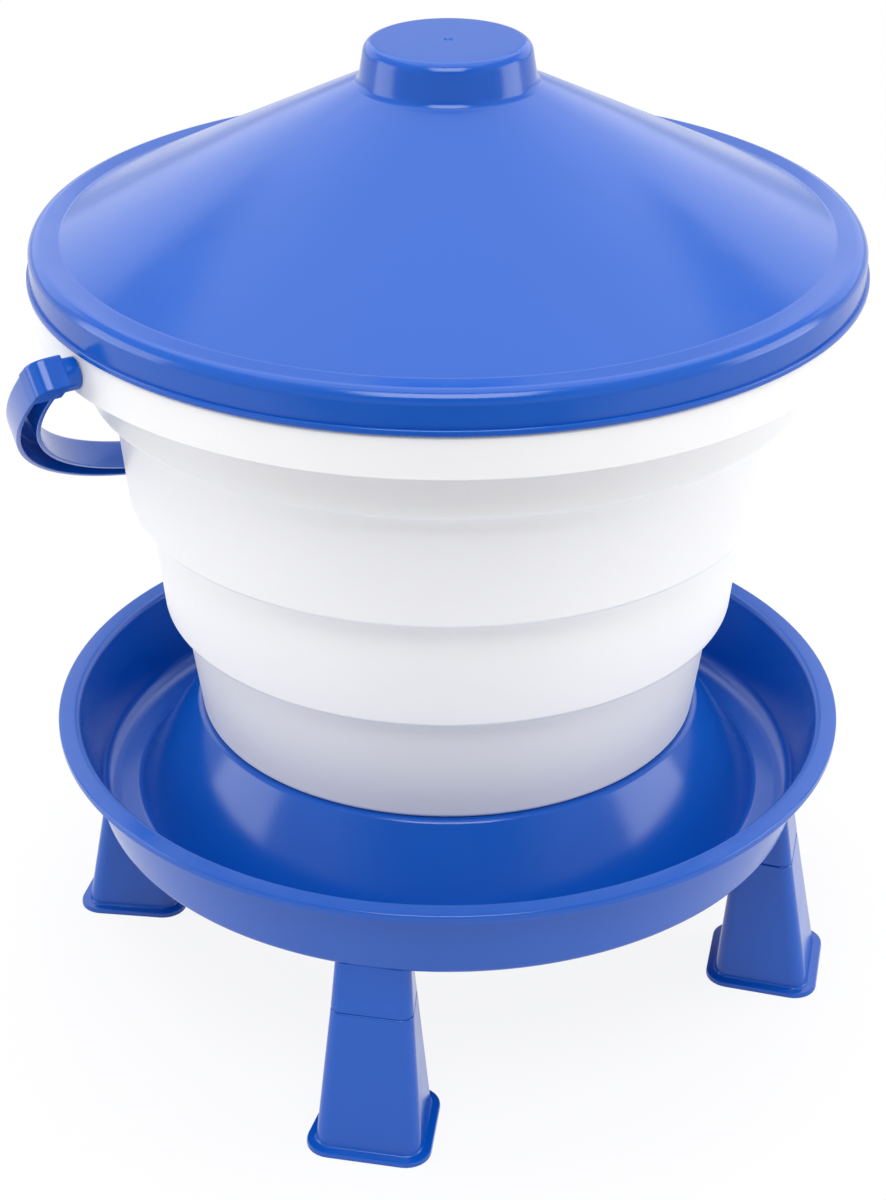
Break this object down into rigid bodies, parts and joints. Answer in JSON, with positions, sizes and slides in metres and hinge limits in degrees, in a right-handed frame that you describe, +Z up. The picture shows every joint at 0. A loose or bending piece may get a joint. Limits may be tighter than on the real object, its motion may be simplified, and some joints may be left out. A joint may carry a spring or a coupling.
{
  "type": "poultry drinker",
  "caption": "Free-standing drinker: stepped bucket with a cone lid and swinging bail on a round trough with plug-in legs, fed by a float-free lift valve.",
  "frame": {"origin": "on the floor, below the bucket's axis", "axes": "+Z up along the bucket's axis; the bail turns about X and hangs on the +Y side; a leg stands on each diagonal"},
  "size_m": [0.439, 0.4, 0.491],
  "materials": {
    "blue_plastic": "gloss moulded",
    "white_plastic": "gloss moulded",
    "valve_plastic": "satin moulded",
    "seal_rubber": "matte"
  },
  "bodies": {
    "root": {"tray": "blue_plastic", "leg_front_left": "blue_plastic", "leg_front_right": "blue_plastic", "leg_back_left": "blue_plastic", "leg_back_right": "blue_plastic", "bucket": "white_plastic", "lid": "blue_plastic", "lid_seal": "seal_rubber", "valve_body": "valve_plastic", "valve_gasket": "seal_rubber", "valve_nut": "valve_plastic"},
    "bail": {"bail": "blue_plastic"},
    "plunger": {"valve_plunger": "valve_plastic", "plunger_seal": "seal_rubber"}
  },
  "joints": [
    {"name": "bail_swing", "type": "hinge", "parent": "root", "child": "bail", "pos_m": [0, 0, 0.3735], "axis": [1, 0, 0], "range_deg": [0, 262.98]},
    {"name": "valve_lift", "type": "slide", "parent": "root", "child": "plunger", "axis": [0, 0, 1], "range_m": [0, 0.008]}
  ]
}
